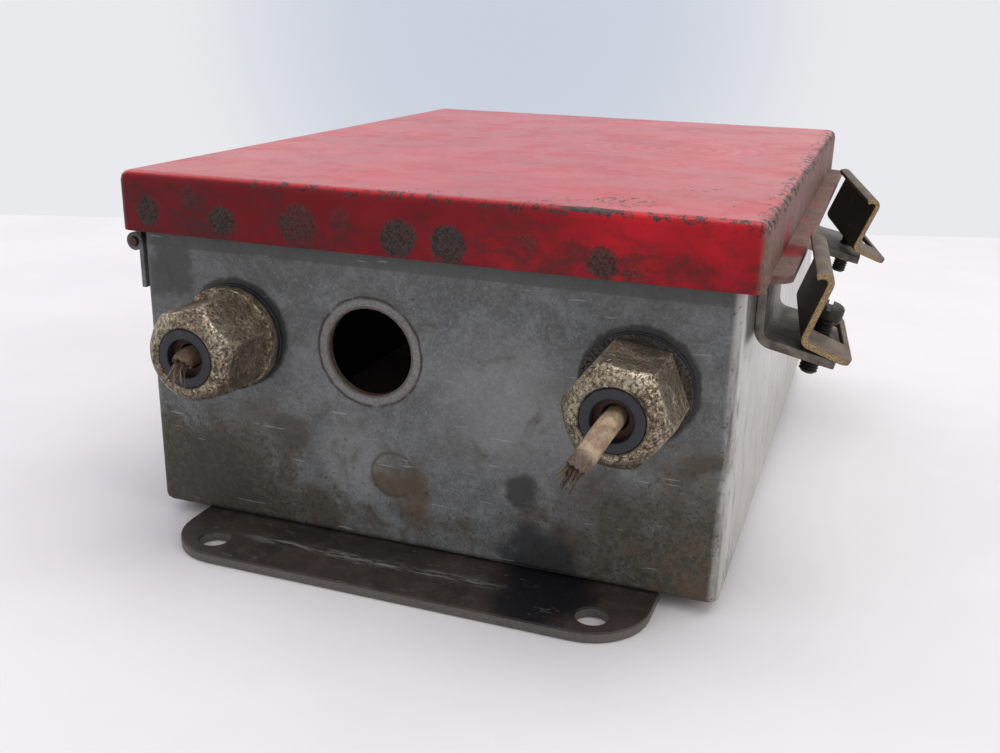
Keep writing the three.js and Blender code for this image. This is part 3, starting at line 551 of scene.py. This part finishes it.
MATERIALS = {
    "red_paint": red_paint(),
    "grey_paint": grey_paint(),
    "brown_paint": brown_paint(),
    "plated_brass": plated_nut(),
    "plain_steel": worn_steel("dull_steel", (0.24, 0.22, 0.19), (0.10, 0.088, 0.075), (0.46, 0.42, 0.35),
                              0.8, 0.9, 0.4),
    # The last tone, near-black, is painted shade for the clamps' faces.
    "rusty_steel": worn_steel("sandy_steel", (0.185, 0.125, 0.082), (0.085, 0.056, 0.038), (0.46, 0.31, 0.14),
                              0.3, 0.5, 0.35, (0.010, 0.008, 0.007)),
    "black_steel": worn_steel("black_oxide", (0.030, 0.026, 0.022), (0.014, 0.012, 0.011),
                              (0.11, 0.085, 0.06), 0.5, 0.7, 0.25),
    "black_rubber": dusty("black_rubber", (0.009, 0.011, 0.016), (0.050, 0.053, 0.060), 0.42, 3.0, 0.30),
    "brown_rubber": dusty("brown_rubber", (0.030, 0.007, 0.005), (0.075, 0.028, 0.020), 0.55, 2.0, 0.6, 0.15),
    "grey_jacket": grey_jacket(),
    "white_paint": plain("white_paint", (0.72, 0.71, 0.67), (0.64, 0.63, 0.59), 0.42),
    "black_plastic": dusty("black_plastic", (0.012, 0.012, 0.012), (0.05, 0.047, 0.042), 0.36, 6.0, 0.3),
    "copper": plain("copper", (0.50, 0.22, 0.12), (0.36, 0.15, 0.08), 0.34, 0.9),
}
HINGE_PAINT = worn_steel("hinge_paint", (0.085, 0.012, 0.016), (0.035, 0.010, 0.010), (0.16, 0.08, 0.05),
                         0.1, 0.8, 0.4)
CONDUCTOR = worn_steel("dirty_strand", (0.16, 0.12, 0.09), (0.055, 0.038, 0.028), (0.42, 0.37, 0.30),
                       0.6, 0.35, 0.3)
CORE = dusty("cable_core", (0.035, 0.016, 0.010), (0.12, 0.070, 0.045), 0.7, 1.0, 0.5, 0.35)


# ---- pieces made from the CAD solids: welded, with real edge rounding and a mark on the rounded faces ----
SMOOTH_ANGLE = math.radians(38)


def place(mesh, name, node, material, body=None):
    made = bpy.data.objects.new(name, mesh)
    bpy.context.scene.collection.objects.link(made)
    mesh.materials.clear()
    mesh.materials.append(material)
    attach(made, body or NODE_BODY[node])
    return made


def smooth(mesh):
    mesh.shade_smooth()
    mesh.set_sharp_from_angle(angle=SMOOTH_ANGLE)


def refined(node, rounding, material=None, segments=2):
    """A finished copy of a CAD node: rounding is the edge radius in mm."""
    bm = bmesh.new()
    bm.from_mesh(frame["nodes"][node].data)
    bmesh.ops.remove_doubles(bm, verts=bm.verts, dist=1e-6)
    bmesh.ops.dissolve_limit(bm, angle_limit=math.radians(1), verts=bm.verts, edges=bm.edges)
    sharp = [e for e in bm.edges if len(e.link_faces) == 2 and e.calc_face_angle() > SMOOTH_ANGLE]
    marked = set()
    if sharp and rounding:
        cut = bmesh.ops.bevel(bm, geom=sharp, offset=rounding * MM, segments=segments, profile=0.5,
                              affect="EDGES", clamp_overlap=True)
        marked = set(cut["faces"])
    layer = bm.faces.layers.float.new("edge")
    for face in bm.faces:
        face[layer] = 1.0 if face in marked else 0.0
    mesh = bpy.data.meshes.new(node + "_finished")
    bm.to_mesh(mesh)
    bm.free()
    smooth(mesh)
    made = place(mesh, node + "_finished", node, material or MATERIALS[NODE_SLOT[node]])
    weighted = made.modifiers.new("weighted", "WEIGHTED_NORMAL")
    weighted.keep_sharp = True
    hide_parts(node)
    return made


ROUNDING = {
    "case_body": 0.35, "front_foot": 0.45, "rear_foot": 0.45, "lid": 0.4, "lid_gasket": 0.3,
    "front_clamp_bracket": 0.35, "rear_clamp_bracket": 0.35, "front_clamp": 0.35, "rear_clamp": 0.35,
    "left_gland_body": 0.35, "right_gland_body": 0.35,
    "left_gland_ring": 0.35, "right_gland_ring": 0.35, "left_gland_bush": 0.5, "right_gland_bush": 0.5,
    "sub_panel": 0.3, "terminal_block": 0.3}
DEFAULT_ROUNDING = 0.2
REBUILT = ("left_cable", "right_cable", "front_clamp_screw", "rear_clamp_screw", "left_gland_dome_nut",
           "right_gland_dome_nut")
SPECIAL = {"hinge_leaf_body": MATERIALS["grey_paint"], "hinge_leaf_lid": HINGE_PAINT,
           "hinge_pin": HINGE_PAINT}

for name in sorted(frame["nodes"]):
    if name not in REBUILT:
        refined(name, ROUNDING.get(name, DEFAULT_ROUNDING), SPECIAL.get(name))


# ---- clamp screws: slotted head and cut thread ----
THREAD_PITCH = 0.794
THREAD_DEPTH = 0.42
SCREW_RADIUS = 2.28
HEAD_RADIUS = 3.6
HEAD_HEIGHT = 3.8
SLOT_WIDTH = 1.1
SLOT_DEPTH = 1.3


def lathe(profile, sides):
    """A closed turned body about +Z, from [radius, height] rows in mm that start and end on the axis."""
    bm = bmesh.new()
    rings = []
    for radius, height in profile:
        if radius == 0:
            rings.append([bm.verts.new((0, 0, height * MM))])
            continue
        turn = [2 * math.pi * k / sides for k in range(sides)]
        rings.append([bm.verts.new(Vector((radius * math.cos(a), radius * math.sin(a), height)) * MM)
                      for a in turn])
    for lower, upper in zip(rings, rings[1:]):
        for k in range(sides):
            n = (k + 1) % sides
            below, above = len(lower), len(upper)
            corners = [lower[k % below], lower[n % below], upper[n % above], upper[k % above]]
            bm.faces.new(list(dict.fromkeys(corners)))
    bmesh.ops.recalc_face_normals(bm, faces=bm.faces)
    return bm


def boolean(target, cutter_mesh, operation="DIFFERENCE"):
    """Applies a boolean of a mesh onto an object, and removes the cutter."""
    cutter = bpy.data.objects.new("cutter", cutter_mesh)
    bpy.context.scene.collection.objects.link(cutter)
    cut = target.modifiers.new("cut", "BOOLEAN")
    cut.operation = operation
    cut.solver = "EXACT"
    cut.object = cutter
    bpy.context.view_layer.update()
    done = bpy.data.meshes.new_from_object(target.evaluated_get(bpy.context.evaluated_depsgraph_get()))
    target.modifiers.clear()
    target.data = done
    bpy.data.objects.remove(cutter)
    return target


def mesh_from(bm, name, matrix=None):
    mesh = bpy.data.meshes.new(name)
    if matrix is not None:
        bm.transform(matrix)
    bm.to_mesh(mesh)
    bm.free()
    return mesh


def clamp_screw(node, joint_name):
    joint = JOINTS[joint_name]
    origin, axis = Vector(joint["pos_m"]), Vector(joint["axis"]).normalized()
    heights = [(v.co - origin).dot(axis) / MM for v in frame["nodes"][node].data.vertices]
    low, top = min(heights), max(heights)
    under_head = top - HEAD_HEIGHT
    profile = [[0, low], [SCREW_RADIUS - 0.7, low]]
    height = low + 0.35
    while height < under_head - THREAD_PITCH:
        profile += [[SCREW_RADIUS - THREAD_DEPTH, height], [SCREW_RADIUS, height + THREAD_PITCH * 0.42],
                    [SCREW_RADIUS, height + THREAD_PITCH * 0.58]]
        height += THREAD_PITCH
    profile += [[SCREW_RADIUS - THREAD_DEPTH, under_head - 0.3], [SCREW_RADIUS - 0.1, under_head],
                [HEAD_RADIUS - 0.25, under_head], [HEAD_RADIUS, under_head + 0.25], [HEAD_RADIUS, top - 1.0],
                [HEAD_RADIUS - 0.3, top - 0.45], [HEAD_RADIUS - 0.9, top - 0.1], [HEAD_RADIUS - 1.4, top],
                [0, top]]
    turn = axis.to_track_quat("Z", "Y").to_matrix().to_4x4()
    pose = Matrix.Translation(origin) @ turn
    made = bpy.data.objects.new(node + "_finished", mesh_from(lathe(profile, 40), node + "_finished", pose))
    bpy.context.scene.collection.objects.link(made)
    slot_cutter = bmesh.new()
    size = Matrix.Diagonal((3 * HEAD_RADIUS * MM, SLOT_WIDTH * MM, 2 * SLOT_DEPTH * MM, 1))
    bmesh.ops.create_cube(slot_cutter, size=1, matrix=Matrix.Translation((0, 0, top * MM)) @ size)
    boolean(made, mesh_from(slot_cutter, "slot", pose))
    made.data.materials.clear()
    made.data.materials.append(MATERIALS["black_steel"])
    smooth(made.data)
    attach(made, NODE_BODY[node])
    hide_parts(node)


clamp_screw("front_clamp_screw", "front_clamp_screw_turn")
clamp_screw("rear_clamp_screw", "rear_clamp_screw_turn")


# ---- gland dome nuts: six flats that run out into a worn dome ----
NUT_SIDES = 180
NUT_ROWS = 34
NUT_CHAMFER = 0.35
NUT_FACE_WALL = 5.9
DOME_DEPTH = 6.6
DOME_FULLNESS = 1.6
LIP_RADIUS = 8.3
FLAT_BLEND = 0.35
THREAD_BORE = 10.3


def dome_nut(side):
    node = side + "_gland_dome_nut"
    low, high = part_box(node)
    centre_x, centre_z = gland_centre(side)
    front, back = low.y / MM, high.y / MM
    rim = [(v.co.x / MM - centre_x, v.co.z / MM - centre_z) for v in frame["nodes"][node].data.vertices
           if v.co.y / MM > back - 0.01]
    corner = max(rim, key=lambda at: math.hypot(*at))
    corner_radius, corner_angle = math.hypot(*corner), math.atan2(corner[1], corner[0])
    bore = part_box(side + "_gland_ring")[1].x / MM - centre_x + 0.1
    sixth = math.pi / 3

    def flats(angle):
        across = (angle - corner_angle) % sixth - sixth / 2
        return corner_radius * math.cos(sixth / 2) / math.cos(across)

    def dome(height):
        along = max(height - (front + DOME_DEPTH), front - (front + DOME_DEPTH)) / -DOME_DEPTH
        along = min(max(along, 0.0), 1.0)
        full = (1 - along ** DOME_FULLNESS) ** (1 / DOME_FULLNESS)
        return LIP_RADIUS + (corner_radius + 0.15 - LIP_RADIUS) * full

    def outer(angle, height):
        a, b = flats(angle), dome(height)
        blend = max(FLAT_BLEND - abs(a - b), 0) / FLAT_BLEND
        return min(a, b) - blend * blend * FLAT_BLEND / 4

    steps = [back - 0.02, back - NUT_CHAMFER]
    for k in range(1, NUT_ROWS + 1):
        steps.append(back - NUT_CHAMFER - (back - front - NUT_CHAMFER) * (k / NUT_ROWS) ** 0.8)
    rows = [[(outer(2 * math.pi * k / NUT_SIDES, y) - (0.3 if i == 0 else 0), y) for k in range(NUT_SIDES)]
            for i, y in enumerate(steps)]
    for radius, y in ((bore + 0.35, front), (bore, front + 0.3), (bore, front + NUT_FACE_WALL),
                      (THREAD_BORE, front + NUT_FACE_WALL), (THREAD_BORE, back - 0.02)):
        rows.append([(radius, y)] * NUT_SIDES)
    bm = bmesh.new()
    layer = bm.verts.layers.float.new("edge")
    rings = []
    for row in rows:
        ring = []
        for k, (radius, y) in enumerate(row):
            angle = 2 * math.pi * k / NUT_SIDES
            vertex = bm.verts.new(((centre_x + radius * math.cos(angle)) * MM, y * MM,
                                   (centre_z + radius * math.sin(angle)) * MM))
            nearness = min(abs(flats(angle) - dome(y)), (corner_radius - flats(angle)) * 3)
            vertex[layer] = max(0.0, 1 - nearness / 0.4) if radius > LIP_RADIUS - 0.2 else 0.0
            ring.append(vertex)
        rings.append(ring)
    for first, second in zip(rings, rings[1:] + rings[:1]):
        for k in range(NUT_SIDES):
            n = (k + 1) % NUT_SIDES
            bm.faces.new((first[k], first[n], second[n], second[k]))
    bmesh.ops.recalc_face_normals(bm, faces=bm.faces)
    made_mesh = mesh_from(bm, node + "_finished")
    smooth(made_mesh)
    made = place(made_mesh, node + "_finished", node, MATERIALS["plated_brass"])
    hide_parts(node)


dome_nut("left")
dome_nut("right")


# ---- cut cables: a jacket open at its end, a dark core, conductors and loose strands ----
CABLE_RADIUS = 2.6
JACKET_WALL = 0.55
INSIDE_REACH = 26.0
TORN_REACH = 8.0
ENTRY_WALL_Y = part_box("case_body")[0].y / MM
GLAND_FACE_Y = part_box("right_gland_dome_nut")[0].y / MM


def curve_points(corners, steps):
    """Points in mm along a smooth curve through the corners (Catmull-Rom)."""
    rows = [Vector(c) for c in corners]
    rows = [2 * rows[0] - rows[1], *rows, 2 * rows[-1] - rows[-2]]
    points = []
    for i in range(1, len(rows) - 2):
        a, b, c, d = rows[i - 1:i + 3]
        for k in range(steps):
            t = k / steps
            points.append(0.5 * ((2 * b) + (c - a) * t + (2 * a - 5 * b + 4 * c - d) * t ** 2
                                 + (3 * b - a - 3 * c + d) * t ** 3))
    points.append(rows[-2])
    return points


def sweep(points, radius_at, sides, hollow=None):
    """A closed tube mesh along points in mm. radius_at gives the radius at (share of length, angle).
    hollow is (wall, depth in points): the far end is then open, with an inner wall that deep."""
    bm = bmesh.new()
    count = len(points)
    tangents = [(points[min(i + 1, count - 1)] - points[max(i - 1, 0)]).normalized() for i in range(count)]
    side = tangents[0].orthogonal().normalized()
    frames = []
    for tangent in tangents:
        side = (side - tangent * side.dot(tangent)).normalized()
        frames.append((side.copy(), tangent.cross(side)))

    def ring(i, inset):
        u, v = frames[i]
        made = []
        for k in range(sides):
            angle = 2 * math.pi * k / sides
            radius = radius_at(i / (count - 1), angle) - inset
            made.append(bm.verts.new((points[i] + (u * math.cos(angle) + v * math.sin(angle)) * radius) * MM))
        return made

    rings = [ring(i, 0) for i in range(count)]
    if hollow:
        wall, depth = hollow
        rings += [ring(i, wall) for i in range(count - 1, count - 1 - depth, -1)]
    for first, second in zip(rings, rings[1:]):
        for k in range(sides):
            n = (k + 1) % sides
            bm.faces.new((first[k], first[n], second[n], second[k]))
    bm.faces.new(rings[0])
    bm.faces.new(rings[-1])
    bmesh.ops.recalc_face_normals(bm, faces=bm.faces)
    return bm


def cut_cable(side, corners, strands, reach, droop, bare):
    """corners: the route outside the gland, as (x, y, z) in mm from the gland's centre and front face.
    strands: how many loose ones, with their reach and droop in mm.
    bare: how far the core stands out of the jacket, in mm."""
    node = side + "_cable"
    x, z = gland_centre(side)
    route = [Vector((x, ENTRY_WALL_Y + INSIDE_REACH, z)), Vector((x, ENTRY_WALL_Y, z)),
             Vector((x, GLAND_FACE_Y + 3, z))]
    route += [Vector((x + dx, GLAND_FACE_Y + dy, z + dz)) for dx, dy, dz in corners]
    points = curve_points(route, 10)

    def jacket_radius(share, angle):
        dent = 0.10 * math.sin(3 * angle + 9 * share) + 0.06 * math.sin(7 * angle - 31 * share)
        return CABLE_RADIUS - 0.12 + dent * share

    jacket_mesh = mesh_from(sweep(points, jacket_radius, 36, (JACKET_WALL, 9)), node + "_finished")
    # The cut runs across the end at a slant, so the last rings are pulled back along one side.
    end, back = points[-1] * MM, (points[-1] - points[-4]).normalized()
    slant = Vector((-0.35, 0.2, -0.9)).normalized()
    for vertex in jacket_mesh.vertices:
        behind = (end - vertex.co).dot(back) / MM
        if behind < 3.0:
            off = (vertex.co - end) / MM
            ragged = 0.35 * math.sin(9 * math.atan2(off.x, off.z))
            pull = (1 - behind / 3.0) * (1.1 + 0.55 * off.dot(slant) + ragged)
            vertex.co -= back * max(pull, 0) * MM
    torn = jacket_mesh.attributes.new("edge", "FLOAT", "POINT")
    for vertex, mark in zip(jacket_mesh.vertices, torn.data):
        mark.value = max(0.0, 1 - (end - vertex.co).length / MM / TORN_REACH)
    smooth(jacket_mesh)
    jacket = place(jacket_mesh, node + "_finished", node, MATERIALS["grey_jacket"])
    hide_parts(node)

    ahead = (points[-1] - points[-4]).normalized()
    core_points = points[-12:] + [points[-1] + ahead * bare * (k + 1) / 6 for k in range(6)]

    def core_radius(share, angle):
        ragged = 0.20 * math.sin(5 * angle + 9 * share) + 0.12 * math.sin(11 * angle - 17 * share)
        return (CABLE_RADIUS - JACKET_WALL - 0.35) * (1 - 0.45 * share ** 5) + ragged * (0.4 + share)

    core_mesh = mesh_from(sweep(core_points, core_radius, 28), side + "_cable_core")
    smooth(core_mesh)
    core = place(core_mesh, side + "_cable_core", node, CORE)

    tangent = (points[-1] - points[-4]).normalized()
    across = tangent.orthogonal().normalized()
    up = tangent.cross(across)
    for k in range(strands):
        angle = 2 * math.pi * k / strands + random.uniform(-0.3, 0.3)
        ring_radius = random.uniform(0.25, 1.75)
        start = points[-6] + (across * math.cos(angle) + up * math.sin(angle)) * ring_radius
        outward = (across * math.cos(angle) + up * math.sin(angle)) * random.uniform(-0.1, 0.9)
        length = random.uniform(*reach)
        fall = Vector((random.uniform(-0.6, 0.5), 0, -1)) * droop
        middle = start + tangent * length * 0.55 + outward * 0.3
        tip = start + tangent * length + outward * length * 0.22 + fall * random.uniform(0.3, 1.0)
        thick = random.uniform(0.07, 0.17) if k % 3 else random.uniform(0.26, 0.42)
        strand_points = curve_points([start, middle, tip], 7)
        strand_mesh = mesh_from(
            sweep(strand_points, lambda share, _angle, r=thick: r * (1 - 0.35 * share), 7),
            f"{side}_cable_strand_{k + 1}")
        smooth(strand_mesh)
        strand = place(strand_mesh, f"{side}_cable_strand_{k + 1}", node, CONDUCTOR)


cut_cable("left", [(0.0, -0.2, -0.5), (0.1, -2.0, -1.3)], 16, (2.4, 4.6), 3.4, 0.9)
cut_cable("right", [(-0.5, -2.0, -0.7), (-2.8, -9.5, -4.7), (-4.3, -12.6, -6.9)], 22, (3.0, 5.4), 0.7, 1.5)


# ---- floor, surroundings and light ----
def pale_surface(name, tone, second):
    s = Shader(name)
    color = s.mix(s.rise(s.noise(90, 4, 0.6), 0.35, 0.65), tone, second)
    s.bump((s.noise(14, 4, 0.6), 0.05))
    return s.finish(color, 0.6, 0.0, 0.3)


def flat_sheet(name, size, matrix, material):
    bm = bmesh.new()
    bmesh.ops.create_grid(bm, x_segments=8, y_segments=8, size=size / 2)
    sheet = bpy.data.objects.new(name, mesh_from(bm, name, matrix))
    sheet.data.materials.append(material)
    bpy.context.scene.collection.objects.link(sheet)


WORLD_PALE = (0.96, 0.965, 1.0, 1)
WORLD_SHADE = (0.70, 0.75, 0.86, 1)
WORLD_STRENGTH = 0.85
SHADE_REACH = 0.955


def pale_world(direction):
    """Plain pale surroundings with one soft shade in a direction. Its edge is at the cosine SHADE_REACH."""
    world = bpy.data.worlds.new("studio")
    world.use_nodes = True
    nodes, links = world.node_tree.nodes, world.node_tree.links
    coordinates = nodes.new("ShaderNodeTexCoord")
    alike = nodes.new("ShaderNodeVectorMath")
    alike.operation = "DOT_PRODUCT"
    alike.inputs[1].default_value = direction
    links.new(coordinates.outputs["Generated"], alike.inputs[0])
    middle = nodes.new("ShaderNodeMapRange")
    middle.interpolation_type = "SMOOTHSTEP"
    middle.inputs["From Min"].default_value = SHADE_REACH
    middle.inputs["From Max"].default_value = 1.0
    links.new(alike.outputs["Value"], middle.inputs["Value"])
    tone = nodes.new("ShaderNodeMix")
    tone.data_type = "RGBA"
    links.new(middle.outputs["Result"], tone.inputs[0])
    tone.inputs[6].default_value = WORLD_PALE
    tone.inputs[7].default_value = WORLD_SHADE
    links.new(tone.outputs[2], nodes["Background"].inputs["Color"])
    nodes["Background"].inputs["Strength"].default_value = WORLD_STRENGTH
    bpy.context.scene.world = world


FLOOR_SIZE = 6.0
FLOOR_DROP = 0.0002
ahead = Vector((-math.sin(CAMERA_YAW), math.cos(CAMERA_YAW), 0))
floor_middle = Vector(CAMERA_AT) + ahead * (FLOOR_END_AHEAD - FLOOR_SIZE / 2)
floor_middle.z = FLOOR_Z - FLOOR_DROP
flat_sheet("floor", FLOOR_SIZE, Matrix.Translation(floor_middle) @ Matrix.Rotation(CAMERA_YAW, 4, "Z"),
           pale_surface("pale_floor", (0.74, 0.715, 0.73), (0.71, 0.685, 0.70)))
pale_world(ahead)


def area_light(name, place_at, aim, size, energy, color):
    data = bpy.data.lights.new(name, "AREA")
    data.shape = "DISK"
    data.size = size
    data.energy = energy
    data.color = color
    light = bpy.data.objects.new(name, data)
    light.location = place_at
    light.rotation_mode = "QUATERNION"
    light.rotation_quaternion = (Vector(aim) - Vector(place_at)).to_track_quat("-Z", "Y")
    bpy.context.scene.collection.objects.link(light)


area_light("overhead", (0.25, 0.12, 0.95), (0.02, 0.0, 0.03), 0.8, 4.6, (1.0, 0.985, 0.96))
area_light("side", (0.95, -0.25, 0.55), (0.02, 0.0, 0.05), 0.5, 1.7, (1.0, 0.95, 0.90))
area_light("left", (-0.80, 0.20, 0.55), (-0.20, 0.10, 0.0), 0.6, 1.3, (0.95, 0.97, 1.0))
bpy.context.scene.view_settings.view_transform = "Standard"
